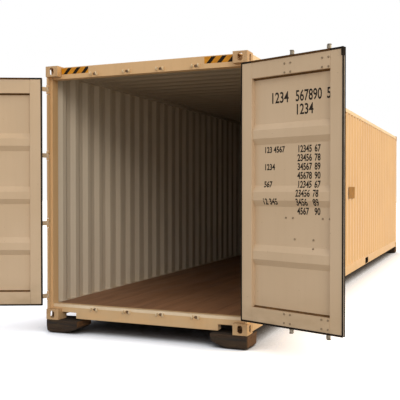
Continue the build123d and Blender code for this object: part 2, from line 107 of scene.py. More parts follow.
def layColours(tree, colour, layers):  # lays tones, as hex codes or nodes, over a colour, each by its share
    colour = linearColour(colour)
    for share, tone in layers:
        tone = linearColour(tone) if isinstance(tone, str) else tone
        colour = addNode(tree, "Mix", {"Factor": share, "A": colour, "B": tone}, data_type="RGBA")
    return colour


# Materials

paints = {
    "containerPaint": {
        "base": "#d7b080", "faded": "#ddb88a", "grime": "#86683f", "dust": "#cdb795", "rust": "#6b3a1e",
        # the inner grime tone also paints shade on the faces inside that look down, up to the overhead share
        "inside": "#cfc3b1", "insideGrimeAndShade": "#7f6d54", "overheadShade": 0.45,
        "fadePatch": 1.1, "streak": (0.045, 0.045, 1.3), "streakShare": 0.08,
        "dustHeight": 0.40, "dustShare": 0.55, "speckSize": 0.016, "specks": 0.75,
        "roughness": 0.50, "peelSize": 0.012, "dentSize": 0.45, "dentDepth": 0.004,
    },
    "doorPaint": {
        "base": "#cbb294", "faded": "#d2ba9e", "grime": "#8a7353", "dust": "#a18a6b", "rust": "#6b3a1e",
        "inside": None,
        "fadePatch": 0.9, "streak": (0.050, 0.050, 0.9), "streakShare": 0.05,
        "dustHeight": 0.50, "dustShare": 0.80, "speckSize": 0.014, "specks": 0.76,
        "roughness": 0.52, "peelSize": 0.012, "dentSize": 0.40, "dentDepth": 0.003,
    },
    "railPaint": {
        "base": "#e8cda2", "faded": "#efd9b6", "grime": "#8a6d45", "dust": "#c3ab88", "rust": "#6b3a1e",
        # the inner grime tone also paints shade on the faces inside that look down, up to the overhead share
        "inside": "#cfc3b1", "insideGrimeAndShade": "#7f6d54", "overheadShade": 0.45,
        "fadePatch": 0.7, "streak": (0.040, 0.040, 0.2), "streakShare": 0.08,
        "dustHeight": 0.55, "dustShare": 0.0, "speckSize": 0.016, "specks": 0.74,
        "roughness": 0.54, "peelSize": 0.012, "dentSize": 0.45, "dentDepth": 0.002,
    },
    "castingPaint": {
        "base": "#c19b70", "faded": "#ccaa80", "grime": "#765630", "dust": "#b79c78", "rust": "#5f3219",
        "inside": None,
        "fadePatch": 0.12, "streak": (0.020, 0.020, 0.1), "streakShare": 0.30,
        "dustHeight": 0.35, "dustShare": 0.30, "speckSize": 0.009, "specks": 0.70,
        "roughness": 0.58, "peelSize": 0.006, "dentSize": 0.05, "dentDepth": 0.001,
    },
}
wear = {  # what every coat of enamel shares; painted shade lies on the inner faces that look down between the overhead limits
    "overhead": (-0.3, -0.7), "dustPatch": (0.25, 0.25, 0.12), "dustRough": 0.4, "fadeRough": 0.10,
    "speckEdge": 0.04, "speckDetail": 2.0, "dentStrength": 0.6, "peelDepth": 0.0003, "peelStrength": 0.35,
}
cargoSpace = {"push": 0.05, "wallStep": 0.012, "roofStep": 0.006}  # the push is deeper than a corrugation


def insideShare(tree, coords):  # 1 on faces that look into the cargo space, 0 outside
    low = Vector((cargoSpace["wallStep"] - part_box("side_wall_right")[1].x,
                  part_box("door_post_right")[1].y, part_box("floor_deck")[1].z))
    high = Vector((-low.x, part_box("end_wall")[1].y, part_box("roof_panel")[1].z + cargoSpace["roofStep"]))
    moved = addNode(tree, "VectorMath", {0: coords.outputs["Normal"], 1: [cargoSpace["push"]] * 3,
                                         2: coords.outputs["Object"]}, operation="MULTIPLY_ADD")
    centred = addNode(tree, "VectorMath", {0: moved, 1: (low + high) / 2}, operation="SUBTRACT")
    folded = addNode(tree, "VectorMath", {0: centred}, operation="ABSOLUTE")
    past = addNode(tree, "VectorMath", {0: folded, 1: (high - low) / 2}, operation="SUBTRACT")
    parts = addNode(tree, "SeparateXYZ", {"Vector": past})
    level = addNode(tree, "Math", {0: parts.outputs["X"], 1: parts.outputs["Y"]}, operation="MAXIMUM")
    furthest = addNode(tree, "Math", {0: level, 1: parts.outputs["Z"]}, operation="MAXIMUM")
    return addNode(tree, "Math", {0: furthest, 1: 0.0}, operation="LESS_THAN")


# Acrylic enamel, sprayed on shot-blasted weathering steel: satin, slightly uneven, with orange peel drawn
# coarser than the real 3 mm so that it shows, faded patches, rain streaks, low dust and a few rust specks
def paintedSteel(name):
    values = paints[name]
    material, tree, coords = newMaterial(name)
    place = coords.outputs["Object"]
    fade = patchy(tree, place, values["fadePatch"], spreads["soft"])
    layers = [(fade, values["faded"])]
    grime = values["grime"]
    if values["inside"]:
        inside = insideShare(tree, coords)
        grime = layColours(tree, grime, [(inside, values["insideGrimeAndShade"])])
        # Painted shade: inside the cargo space, faces that look down are darkened towards the grime tone
        facing = addNode(tree, "SeparateXYZ", {"Vector": coords.outputs["Normal"]}).outputs["Z"]
        start, full = wear["overhead"]
        overhead = addNode(tree, "MapRange", {"Value": facing, "From Min": start, "From Max": full,
                                              "To Max": values["overheadShade"]})
        overheadShade = addNode(tree, "Math", {0: overhead, 1: inside}, operation="MULTIPLY")
        layers += [(inside, values["inside"]), (overheadShade, grime)]
    streak = patchy(tree, place, values["streak"], spreads["streaked"], values["streakShare"])
    height = addNode(tree, "SeparateXYZ", {"Vector": place}).outputs["Z"]
    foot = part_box("timber_blocks")[1].z  # dust thins out from the top of the blocks upwards
    low = addNode(tree, "MapRange", {"Value": height, "From Min": foot + values["dustHeight"],
                                     "From Max": foot, "To Max": values["dustShare"]})
    settled = patchy(tree, place, wear["dustPatch"], spreads["settled"])
    dust = addNode(tree, "Math", {0: low, 1: settled}, operation="MULTIPLY")
    specks = (values["specks"], values["specks"] + wear["speckEdge"], wear["speckDetail"])
    speck = patchy(tree, place, values["speckSize"], specks)
    layers += [(streak, grime), (dust, values["dust"]), (speck, values["rust"])]
    rough = values["roughness"] - wear["fadeRough"] / 2
    rough = addNode(tree, "Math", {0: fade, 1: wear["fadeRough"], 2: rough}, operation="MULTIPLY_ADD")
    rough = addNode(tree, "Math", {0: dust, 1: wear["dustRough"], 2: rough}, operation="MULTIPLY_ADD")
    dents = patchy(tree, place, values["dentSize"], spreads["smooth"])
    peel = patchy(tree, place, values["peelSize"], spreads["smooth"])
    dented = addNode(tree, "Bump", {"Height": dents, "Distance": values["dentDepth"],
                                    "Strength": wear["dentStrength"]})
    relief = addNode(tree, "Bump", {"Height": peel, "Distance": wear["peelDepth"],
                                    "Strength": wear["peelStrength"], "Normal": dented})
    colour = layColours(tree, values["base"], layers)
    return closeMaterial(material, {"Base Color": colour, "Roughness": rough, "IOR": 1.5, "Normal": relief})


zinc = {
    "bright": "#968e80", "dull": "#6f675b", "stain": "#4f3b28", "roughness": 0.52, "metallic": 0.75,
    "spangle": 0.016, "spangleRough": 0.12, "spangleDepth": 0.0003, "spangleStrength": 0.3,
    "stainPatch": (0.04, 0.04, 0.09), "stainShare": 0.55,
}


# Forged and hot-dip galvanised steel: grey, with the crystal pattern of zinc, dull where it has weathered
def galvanisedSteel(name):
    material, tree, coords = newMaterial(name)
    place = coords.outputs["Object"]
    crystals = addNode(tree, "TexVoronoi", {"Vector": place, "Scale": 1 / zinc["spangle"]})
    shade = addNode(tree, "SeparateColor", {"Color": crystals.outputs["Color"]}).outputs["Red"]
    stain = patchy(tree, place, zinc["stainPatch"], spreads["stained"], zinc["stainShare"])
    colour = layColours(tree, zinc["dull"], [(shade, zinc["bright"]), (stain, zinc["stain"])])
    rough = addNode(tree, "Math", {0: shade, 1: -zinc["spangleRough"],
                                   2: zinc["roughness"] + zinc["spangleRough"] / 2}, operation="MULTIPLY_ADD")
    relief = addNode(tree, "Bump", {"Height": shade, "Distance": zinc["spangleDepth"],
                                    "Strength": zinc["spangleStrength"]})
    return closeMaterial(material, {"Base Color": colour, "Metallic": zinc["metallic"], "Roughness": rough,
                                    "Normal": relief})


plywood = {
    "brown": "#996b4a", "pale": "#a97c5a", "dark": "#674731", "seam": "#1c130d", "roughness": 0.48,
    "sheetWidth": 1.16, "sheetLength": 2.40, "seamWidth": 0.004, "seamDepth": 0.002, "toneShare": 0.25,
    "grain": (0.006, 0.35, 0.02), "grainDepth": 0.0006, "grainStrength": 0.5,
    "bands": (0.09, 1.9, 0.5), "bandShare": 0.55, "scuffs": (0.30, 0.9, 0.5), "scuffRough": 0.16,
}


# Hardwood plywood, pressed and oiled, with its face grain along the container: brown, streaked and scuffed,
# with a dark joint round each sheet. The grain is drawn coarser than the real 1 mm so that it shows
def floorPlywood(name):
    material, tree, coords = newMaterial(name)
    place = coords.outputs["Object"]
    grain = patchy(tree, place, plywood["grain"], spreads["grained"])
    bands = patchy(tree, place, plywood["bands"], spreads["soft"], plywood["bandShare"])
    parts = addNode(tree, "SeparateXYZ", {"Vector": place})
    cells = {}
    edges = []
    for axis, size in (("X", plywood["sheetWidth"]), ("Y", plywood["sheetLength"])):
        count = addNode(tree, "Math", {0: parts.outputs[axis], 1: size}, operation="DIVIDE")
        cells[axis] = addNode(tree, "Math", {0: count}, operation="FLOOR")
        line = addNode(tree, "Math", {0: count}, operation="ROUND")
        off = addNode(tree, "Math", {0: count, 1: line}, operation="SUBTRACT")
        away = addNode(tree, "Math", {0: off}, operation="ABSOLUTE")
        half = plywood["seamWidth"] / 2 / size
        edges.append(addNode(tree, "Math", {0: away, 1: half}, operation="LESS_THAN"))
    sheet = addNode(tree, "CombineXYZ", cells)
    sheetTone = addNode(tree, "TexWhiteNoise", {"Vector": sheet})
    toned = addNode(tree, "Math", {0: sheetTone, 1: plywood["toneShare"]}, operation="MULTIPLY")
    seam = addNode(tree, "Math", {0: edges[0], 1: edges[1]}, operation="MAXIMUM")
    colour = layColours(tree, plywood["dark"], [(grain, plywood["brown"]), (bands, plywood["pale"]),
                                                (toned, plywood["dark"]), (seam, plywood["seam"])])
    scuff = patchy(tree, place, plywood["scuffs"], spreads["scuffed"])
    rough = addNode(tree, "Math", {0: scuff, 1: plywood["scuffRough"], 2: plywood["roughness"]},
                    operation="MULTIPLY_ADD")
    veneer = addNode(tree, "Bump", {"Height": grain, "Distance": plywood["grainDepth"],
                                    "Strength": plywood["grainStrength"]})
    whole = addNode(tree, "Math", {0: 1.0, 1: seam}, operation="SUBTRACT")
    relief = addNode(tree, "Bump", {"Height": whole, "Distance": plywood["seamDepth"], "Strength": 1.0,
                                    "Normal": veneer})
    return closeMaterial(material, {"Base Color": colour, "Roughness": rough, "IOR": 1.5, "Normal": relief})


sleeper = {
    "heart": "#392613", "dark": "#150e06", "grey": "#493a23", "end": "#6a4520", "roughness": 0.85,
    "ring": 0.007, "ringsPerUnit": 20, "ringStretch": (0.06, 1.0, 1.0),
    "ringWander": {"Distortion": 6.0, "Detail": 3.0, "Detail Scale": 2.0},
    "ringDepth": 0.002, "ringStrength": 0.5,
    "fibre": (0.16, 0.004, 0.004), "fibreShare": 0.5, "fibreDepth": 0.0015, "fibreStrength": 0.7,
    "dryPatch": (0.20, 0.05, 0.05), "dryShare": 0.45, "endFacing": (0.60, 0.95), "endShare": 0.62,
}


# Rough sawn softwood soaked in creosote: near black in its cracks, brown on cut ends, greyed where it is dry.
# Its fibres are drawn coarser than the real 1 mm so that they show
def sleeperTimber(name):
    material, tree, coords = newMaterial(name)
    place = coords.outputs["Object"]
    stretch = addNode(tree, "Mapping", {"Vector": place, "Scale": sleeper["ringStretch"]})
    scale = 1 / sleeper["ring"] / sleeper["ringsPerUnit"]
    rings = addNode(tree, "TexWave", {"Vector": stretch, "Scale": scale, **sleeper["ringWander"]},
                    wave_type="RINGS", rings_direction="X")
    fibre = patchy(tree, place, sleeper["fibre"], spreads["fibrous"])
    cracks = addNode(tree, "Math", {0: fibre, 1: sleeper["fibreShare"]}, operation="MULTIPLY")
    dry = patchy(tree, place, sleeper["dryPatch"], spreads["dried"], sleeper["dryShare"])
    side = addNode(tree, "SeparateXYZ", {"Vector": coords.outputs["Normal"]}).outputs["X"]
    facing = addNode(tree, "Math", {0: side}, operation="ABSOLUTE")
    start, full = sleeper["endFacing"]
    cut = addNode(tree, "MapRange", {"Value": facing, "From Min": start, "From Max": full,
                                     "To Max": sleeper["endShare"]})
    colour = layColours(tree, sleeper["dark"], [(rings, sleeper["heart"]), (cracks, sleeper["dark"]),
                                                (dry, sleeper["grey"]), (cut, sleeper["end"])])
    grown = addNode(tree, "Bump", {"Height": rings, "Distance": sleeper["ringDepth"],
                                   "Strength": sleeper["ringStrength"]})
    relief = addNode(tree, "Bump", {"Height": fibre, "Distance": sleeper["fibreDepth"],
                                    "Strength": sleeper["fibreStrength"], "Normal": grown})
    return closeMaterial(material, {"Base Color": colour, "Roughness": sleeper["roughness"], "IOR": 1.5,
                                    "Normal": relief})


rubber = {
    "black": "#120c08", "chalk": "#2a2018", "roughness": 0.80, "specular": 0.12,
    "chalkPatch": (0.02, 0.02, 0.15), "chalkDepth": 0.0005, "chalkStrength": 0.3,
}


# Extruded EPDM rubber: matt black, chalky where it has aged in the sun
def sealRubber(name):
    material, tree, coords = newMaterial(name)
    chalk = patchy(tree, coords.outputs["Object"], rubber["chalkPatch"], spreads["chalky"])
    colour = layColours(tree, rubber["black"], [(chalk, rubber["chalk"])])
    relief = addNode(tree, "Bump", {"Height": chalk, "Distance": rubber["chalkDepth"],
                                    "Strength": rubber["chalkStrength"]})
    return closeMaterial(material, {"Base Color": colour, "Roughness": rubber["roughness"], "IOR": 1.5,
                                    "Specular IOR Level": rubber["specular"], "Normal": relief})


coats = {  # light and dark tone, size of their patches, roughness and specular level
    "plateEnamel": ("#a4731f", "#815a18", 0.06, 0.60, 0.10),  # stoved on thin sheet: ochre, nearly matt
    "retroreflectiveFilm": ("#d9920f", "#c07c08", 0.05, 0.50, 0.30),  # cast film with glass beads: even amber
    "blackVinylFilm": ("#120c06", "#1e160d", 0.05, 0.70, 0.12),  # calendered vinyl: flat black
    "stencilEnamel": ("#15100b", "#2a2118", 0.02, 0.70, 0.20),  # dabbed through a stencil: uneven black
    "chromatedBoltSteel": ("#97846b", "#6f5e49", 0.01, 0.50, 0.50),  # dipped zinc: dull, yellowish grey
    "stainlessStripSteel": ("#a89e96", "#8f857c", 0.08, 0.45, 0.50),  # cold rolled strip: pale, even grey
    "undersealWax": ("#3b2d20", "#231a12", 0.08, 0.75, 0.20),  # sprayed under the floor: dark brown, dull
    "scuffedPrimer": ("#f2e0c6", "#e0c8a6", 0.30, 0.60, 0.50),  # sprayed primer, bared by wheels: pale
    "butylSealantShade": ("#6a4c2c", "#4d3620", 0.05, 0.80, 0.20),  # gunned mastic, its brown also painted shade under the rails and the seal: dull
    "lockGreaseShade": ("#745433", "#4c3519", 0.012, 0.45, 0.50),  # grease rubbed off by the cams, and painted shade between the keeper ears: brown, satin
    "wornKeeperPaintHighlight": ("#ead9bb", "#c5a87c", 0.02, 0.40, 0.50),  # sprayed enamel, rubbed pale by the cams and lightened further as a painted highlight
}
coatGrain = {"size": 0.004, "depth": 0.0001, "strength": 0.4}  # coarser than the real 0.5 mm, to show


# One plain coat on sheet, strip or film: two close tones in patches, with a fine grain
def plainCoat(name):
    light, dark, patch, roughness, specular = coats[name]
    material, tree, coords = newMaterial(name)
    place = coords.outputs["Object"]
    tone = patchy(tree, place, patch, spreads["scuffed"])
    fine = patchy(tree, place, coatGrain["size"], spreads["smooth"])
    relief = addNode(tree, "Bump", {"Height": fine, "Distance": coatGrain["depth"],
                                    "Strength": coatGrain["strength"]})
    colour = layColours(tree, light, [(tone, dark)])
    return closeMaterial(material, {"Base Color": colour, "Roughness": roughness, "IOR": 1.5,
                                    "Specular IOR Level": specular, "Normal": relief})


coated = {name: plainCoat(name) for name in coats}
slotFinishes = {
    "container_paint": paintedSteel("containerPaint"), "door_paint": paintedSteel("doorPaint"),
    "galvanised": galvanisedSteel("galvanisedSteel"), "plywood": floorPlywood("floorPlywood"),
    "timber": sleeperTimber("sleeperTimber"), "gasket_rubber": sealRubber("sealRubber"),
    "plate_metal": coated["plateEnamel"],
}
ownFinishes = {  # nodes, by the start of their name, that look different from the rest of their slot
    "top_rail": paintedSteel("railPaint"),  # the same enamel, bleached by the sun
    "castings": paintedSteel("castingPaint"),  # the same on sand-cast steel: grainier, chipped and dirtier
    "cross_members": coated["undersealWax"], "fork_pockets": coated["undersealWax"],
    # the keepers' pale coat is worn paint and painted highlight together
    "header_keepers": coated["wornKeeperPaintHighlight"], "sill_keepers": coated["wornKeeperPaintHighlight"],
}
nodeSlots = {part["node"]: part["material_slot"] for part in frame["record"]["subparts"]}
for nodeName, node in frame["nodes"].items():
    own = [finish for start, finish in ownFinishes.items() if nodeName.startswith(start)]
    node.data.materials.clear()
    node.data.materials.append(own[0] if own else slotFinishes[nodeSlots[nodeName]])
print("materials made:", len(bpy.data.materials))


# Softened edges on the rolled, pressed and cast pieces, as modifiers over the CAD meshes

edgeRadii = {
    "castings": 0.004, "door_post": 0.004, "end_post": 0.004, "door_header": 0.003, "door_sill": 0.003,
    "top_rail": 0.004, "bottom_rail": 0.002, "end_top_rail": 0.003, "end_bottom_rail": 0.003,
    "door_stiles": 0.009, "door_rails": 0.003, "header_keepers": 0.0015, "sill_keepers": 0.0015,
    "hinge_lugs": 0.0015, "hinge_blades": 0.0012, "bar_guides": 0.0010, "lock_bar": 0.0015,
}
softening = {"weld": 0.00001, "angle": 35}  # only edges sharper than the angle, in degrees, are softened


def softenEdges(item, width, segments=2):
    weld = item.modifiers.new("weld", "WELD")
    weld.merge_threshold = softening["weld"]
    bevel = item.modifiers.new("edge", "BEVEL")
    bevel.width = width
    bevel.segments = segments
    bevel.limit_method = "ANGLE"
    bevel.angle_limit = math.radians(softening["angle"])
    bevel.harden_normals = False
    bevel.use_clamp_overlap = True


for nodeName, node in frame["nodes"].items():
    for start, radius in edgeRadii.items():
        if nodeName.startswith(start):
            softenEdges(node, radius)


# Making meshes

def addPrism(mesh, points, offset):  # a closed flat outline moved along a vector
    near = [mesh.verts.new(p) for p in points]
    far = [mesh.verts.new(Vector(p) + Vector(offset)) for p in points]
    mesh.faces.new(near)
    mesh.faces.new(list(reversed(far)))
    for i in range(len(points)):
        j = (i + 1) % len(points)
        mesh.faces.new((near[j], near[i], far[i], far[j]))


def addTurned(mesh, origin, axis, profile, sides):  # a solid of revolution from (radius, height) pairs
    axis = Vector(axis).normalized()
    across = axis.orthogonal().normalized()
    other = axis.cross(across)
    rings = []
    for radius, height in profile:
        ring = []
        for i in range(sides):
            turn = math.tau * i / sides
            spoke = across * math.cos(turn) + other * math.sin(turn)
            ring.append(mesh.verts.new(Vector(origin) + axis * height + spoke * radius))
        rings.append(ring)
    for lower, upper in zip(rings, rings[1:]):
        for i in range(sides):
            j = (i + 1) % sides
            mesh.faces.new((lower[i], lower[j], upper[j], upper[i]))
    mesh.faces.new(list(reversed(rings[0])))
    mesh.faces.new(rings[-1])


domeProfile = [(1, -0.2), (1, 0.3), (0.85, 0.7), (0.5, 0.94), (0.12, 1)]  # in its radii and its heights


def addDome(mesh, place, axis, radius, height, sides=10):  # a button head that stands on a face
    addTurned(mesh, place, axis, [(radius * wide, height * up) for wide, up in domeProfile], sides)


def addMesh(mesh, other):  # joins a second mesh to the first and frees it
    data = bpy.data.meshes.new("joined")
    other.to_mesh(data)
    other.free()
    mesh.from_mesh(data)
    bpy.data.meshes.remove(data)


def makePiece(name, mesh, material, body, smoothAngle=30):
    bmesh.ops.recalc_face_normals(mesh, faces=mesh.faces)
    data = bpy.data.meshes.new(name)
    mesh.to_mesh(data)
    mesh.free()
    data.materials.append(material)
    data.shade_smooth()
    data.set_sharp_from_angle(angle=math.radians(smoothAngle))
    piece = bpy.data.objects.new(name, data)
    bpy.context.scene.collection.objects.link(piece)
    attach(piece, body)
    return piece


# Door coordinates: along from the hinge pin to the free edge, depth from the pin inwards, and height

def doorAxes(side):
    hinge = joints[f"{sideNames[side]}_door_hinge"]
    turn = math.radians(-side * hinge["range_deg"][0])
    along = Vector((-side * math.cos(turn), -side * math.sin(turn), 0))
    inward = Vector((-math.sin(turn), math.cos(turn), 0))
    pin = Vector((hinge["pos_m"][0], hinge["pos_m"][1], 0))
    return pin, along, inward


def doorPoint(side, along, depth, height):
    pin, alongAxis, inward = doorAxes(side)
    return pin + alongAxis * along + inward * depth + Vector((0, 0, height))


def doorExtent(side, node):  # lowest and highest along, depth and height of a CAD node on a door
    pin, alongAxis, inward = doorAxes(side)
    spots = []
    for vertex in frame["nodes"][node].data.vertices:
        reach = vertex.co - pin
        spots.append((reach.dot(alongAxis), reach.dot(inward), vertex.co.z))
    return [min(s) for s in zip(*spots)], [max(s) for s in zip(*spots)]


def barPlace(side, bar):  # where a locking bar stands, along and deep, from its joint
    pin, alongAxis, inward = doorAxes(side)
    place = Vector(joints[f"{sideNames[side]}_{bar}_bar_turn"]["pos_m"]) - pin
    return place.dot(alongAxis), place.dot(inward)


def doorSurface(side, nodes):  # looks up the depth of a door's inner face
    mesh = bmesh.new()
    for node in nodes:
        mesh.from_mesh(frame["nodes"][f"{node}_{sideNames[side]}"].data)
    tree = BVHTree.FromBMesh(mesh)
    mesh.free()
    inward = doorAxes(side)[2]
    away = 0.5  # looks from well inside, outwards

    def depthAt(along, height):
        start = doorPoint(side, along, away, height)
        return away - tree.ray_cast(start, -inward)[3]

    return depthAt


# Timber blocks: rough sawn sleepers with worn corners, splits along the grain and checks in their ends

blocks = {
    "radius": 0.014, "footRadius": 0.038, "radiusWander": 0.6, "wanderPitch": 9,  # each pitch is per metre
    "sawDepth": 0.0035, "sawPitch": (10, 60, 60),
    "splitDepth": 0.009, "splitPitch": (3.5, 22, 22), "splitShare": 0.035,
    "taper": 0.065, "taperLength": 0.27, "cuts": 24, "smoothAngle": 50,
}


def weatherBlock(place, centre, half, number):
    low = (1 - place.z / half.z) / 2  # 0 on top, 1 on the ground
    radius = blocks["radius"] + (blocks["footRadius"] - blocks["radius"]) * low
    shifted = place * blocks["wanderPitch"] + Vector((number, 0, 0))  # so that no two blocks wear alike
    radius *= 1 + blocks["radiusWander"] * noise.noise(shifted)
    core = Vector([max(-h + radius, min(h - radius, p)) for p, h in zip(place, half)])
    out = place - core
    normal = out.normalized() if out.length > 1e-6 else Vector((0, 0, 0))
    place = core + normal * min(out.length, radius)
    seen = place + centre
    sawn = noise.noise(Vector([s * pitch for s, pitch in zip(seen, blocks["sawPitch"])]))
    grain = Vector([s * pitch for s, pitch in zip(seen, blocks["splitPitch"])]) + Vector((0, 0, number * 3))
    split = abs(noise.noise(grain)) / blocks["splitShare"]  # under 1 in a split
    drop = blocks["sawDepth"] * (1 + sawn) / 2
    if split < 1 and abs(normal.z) < 0.5:  # on the upright faces alone
        drop += blocks["splitDepth"] * (1 - split)
    inner = max(0.0, 1 - (half.x + math.copysign(place.x, place.x * centre.x)) / blocks["taperLength"])
    return place - normal * drop + Vector((0, 0, blocks["taper"] * low * inner ** 2))


def makeBlocks():
    low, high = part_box("timber_blocks")
    corners = [vertex.co for vertex in frame["nodes"]["timber_blocks"].data.vertices]
    width = high.x - min(corner.x for corner in corners if corner.x > 0)
    depth = high.y - min(corner.y for corner in corners if corner.y > 0)
    mesh = bmesh.new()
    number = 0
    for side in (-1, 1):
        for end in (-1, 1):
            half = Vector((width / 2, depth / 2, (high.z - low.z) / 2))
            centre = Vector((side * (high.x - half.x), end * (high.y - half.y), half.z))
            cube = bmesh.new()
            bmesh.ops.create_cube(cube, size=2.0)
            bmesh.ops.subdivide_edges(cube, edges=cube.edges[:], cuts=blocks["cuts"], use_grid_fill=True)
            for vertex in cube.verts:
                place = Vector([c * h for c, h in zip(vertex.co, half)])
                vertex.co = centre + weatherBlock(place, centre, half, number)
            addMesh(mesh, cube)
            number += 1
    piece = makePiece("timberSleepers", mesh, slotFinishes["timber"], "container",
                      blocks["smoothAngle"])
    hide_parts("timber_blocks")


makeBlocks()
print("timber blocks made")


# Hazard stripes: yellow film with black slanting bars on the door header beside each top casting

stripes = {
    "drop": 0.009, "height": 0.070, "film": 0.0004, "barWidth": 0.050, "slant": 0.062,
    "left": {"from": -1.055, "to": -0.700, "bars": (-1.030, -0.911, -0.792)},
    "right": {"from": 0.715, "to": 1.055, "bars": (0.735, 0.855, 0.975)},
}


def clipOutline(points, low, high):  # keeps an outline between two values of x
    for limit, sign in ((low, 1), (high, -1)):
        kept = []
        for first, second in zip(points, points[1:] + points[:1]):
            insideFirst = sign * (first[0] - limit) >= 0
            insideSecond = sign * (second[0] - limit) >= 0
            if insideFirst:
                kept.append(first)
            if insideFirst != insideSecond:
                share = (limit - first[0]) / (second[0] - first[0])
                kept.append((limit, first[1] + share * (second[1] - first[1])))
        points = kept
    return points


def makeStripes():
    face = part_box("door_header")[0].y
    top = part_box("door_header")[1].z - stripes["drop"]
    base = top - stripes["height"]
    yellow = bmesh.new()
    black = bmesh.new()
    film = stripes["film"]
    for name in sideNames.values():
        patch = stripes[name]
        corners = [(patch["from"], base), (patch["to"], base), (patch["to"], top), (patch["from"], top)]
        addPrism(yellow, [(x, face, z) for x, z in corners], (0, -film, 0))
        for foot in patch["bars"]:
            bar = [(foot, base), (foot + stripes["barWidth"], base),
                   (foot + stripes["barWidth"] + stripes["slant"], top), (foot + stripes["slant"], top)]
            outline = clipOutline(bar, patch["from"], patch["to"])
            addPrism(black, [(x, face - film, z) for x, z in outline], (0, -film, 0))
    makePiece("hazardFilmYellow", yellow, coated["retroreflectiveFilm"], "container")
    makePiece("hazardFilmBlack", black, coated["blackVinylFilm"], "container")


makeStripes()
print("hazard stripes made")


# Seals: a rubber section round each leaf with two lips at its edge, a lip on its inner face, a steel strip
# that holds it, and a moulded corner block

seal = {
    "edge": 0.0028, "lip": 0.0039, "waist": 0.0020,  # it and its lips stand out, and it draws in between them
    "outerLip": (0.004, 0.008, 0.011), "innerLip": (0.012, 0.008, 0.002),  # steps from either face
    "flange": 0.015, "flangeEdge": 0.002, "hingeShare": 0.6, "freeShare": 0.25,
    "proud": {"left": 0.003, "right": 0.008}, "bulge": (0.6, 0.9), "bulgeAt": 0.6,  # its rounding, in shares
    "strip": 0.008, "stripThickness": 0.0012, "smoothAngle": 25,
}


def sweepRound(mesh, side, low, high, profile):  # a section of (offset, depth) pairs round the leaf's outline
    rings = []
    for offset, depth in profile:
        hinged = low[0] - (offset if offset > 0 else offset * seal["hingeShare"])  # narrower along the hinge
        free = high[0] + (offset if offset > 0 else offset * seal["freeShare"])
        corners = [(hinged, low[2] - offset), (free, low[2] - offset), (free, high[2] + offset),
                   (hinged, high[2] + offset)]
        rings.append([mesh.verts.new(doorPoint(side, along, depth, z)) for along, z in corners])
    for first, second in zip(rings, rings[1:] + rings[:1]):
        for i in range(len(first)):
            j = (i + 1) % len(first)
            mesh.faces.new((first[i], first[j], second[j], second[i]))


def makeSeal(side):
    name = sideNames[side]
    low, high = doorExtent(side, f"door_stiles_{name}")
    outer = doorExtent(side, f"door_gasket_{name}")[0][1]
    inner = high[1]
    edge = seal["edge"]
    waist = seal["edge"] - seal["waist"]
    lip = seal["lip"]
    flange = seal["flange"]
    proud = seal["proud"][name]
    lipStart, lipEnd, waistStart = [outer + step for step in seal["outerLip"]]
    waistEnd, innerStart, innerEnd = [inner - step for step in seal["innerLip"]]
    edgeBulge, flangeBulge = seal["bulge"]
    section = bmesh.new()
    sweepRound(section, side, low, high, [
        (0, outer), (edge, outer), (lip, lipStart), (lip, lipEnd), (waist, waistStart),
        (waist, waistEnd), (lip, innerStart), (lip, innerEnd), (edge, inner + proud * edgeBulge),
        (0, inner + proud), (-flange * seal["bulgeAt"], inner + proud * flangeBulge),
        (-flange, inner + seal["flangeEdge"]), (-flange, inner), (0, inner),
    ])
    piece = makePiece(f"doorSeal_{name}", section, slotFinishes["gasket_rubber"], f"{name}_door",
                      seal["smoothAngle"])
    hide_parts(f"door_gasket_{name}")
    steel = bmesh.new()
    middle = (outer + inner) / 2
    half = seal["strip"] / 2
    rim = waist + seal["stripThickness"]
    sweepRound(steel, side, low, high, [
        (0, middle - half), (rim, middle - half), (rim, middle + half), (0, middle + half),
    ])
    makePiece(f"sealStrip_{name}", steel, coated["stainlessStripSteel"], f"{name}_door")


sealCorner = {
    "wide": 0.012, "tall": 0.076, "deep": 0.040, "proud": {"left": 0.003, "right": 0.015}, "rounding": 0.006,
}


def makeSealCorner(side):  # the moulded block at the top of the free edge
    name = sideNames[side]
    high = doorExtent(side, f"door_stiles_{name}")[1]
    near = high[1] - sealCorner["deep"]
    far = high[1] + sealCorner["proud"][name]
    start = high[0] - sealCorner["wide"]
    rim = high[0] + seal["lip"]
    base = high[2] - sealCorner["tall"]
    mesh = bmesh.new()
    outline = ((start, near), (rim, near), (rim, far), (start, far))
    addPrism(mesh, [doorPoint(side, along, depth, base) for along, depth in outline],
             (0, 0, sealCorner["tall"] + seal["lip"]))
    piece = makePiece(f"sealCorner_{name}", mesh, slotFinishes["gasket_rubber"], f"{name}_door")
    softenEdges(piece, sealCorner["rounding"], segments=3)


for side in sideNames:
    makeSeal(side)
    makeSealCorner(side)
print("seals made")


# Sealant: a brown bead along the joint of the pressed panel with the rails above and below it, and one along
# the top of the top rail under the seal; the brown is partly sealant, partly painted shade under the rails and the
# seal

bead = {"size": 0.018, "inset": 0.0005, "toe": (0.4, 0.5)}  # the toe is in shares of its size


def makeBeads(side):
    name = sideNames[side]
    low, high = doorExtent(side, f"door_panel_{name}")
    railTop = doorExtent(side, f"door_rails_{name}")[1][2]
    depthAt = doorSurface(side, ("door_panel", "door_rails"))
    run = doorPoint(side, high[0], 0, 0) - doorPoint(side, low[0], 0, 0)
    size = bead["size"]
    toeDeep, toeWide = bead["toe"]
    mesh = bmesh.new()
    for level, away in ((low[2], size), (high[2], -size), (railTop, -size)):
        depth = depthAt((low[0] + high[0]) / 2, level + away / 2)
        back = depth - bead["inset"]
        section = [(back, level), (depth + size, level), (depth + size * toeDeep, level + away * toeWide),
                   (back, level + away)]
        addPrism(mesh, [doorPoint(side, low[0], d, z) for d, z in section], run)
    makePiece(f"panelSealantShade_{name}", mesh, coated["butylSealantShade"], f"{name}_door")


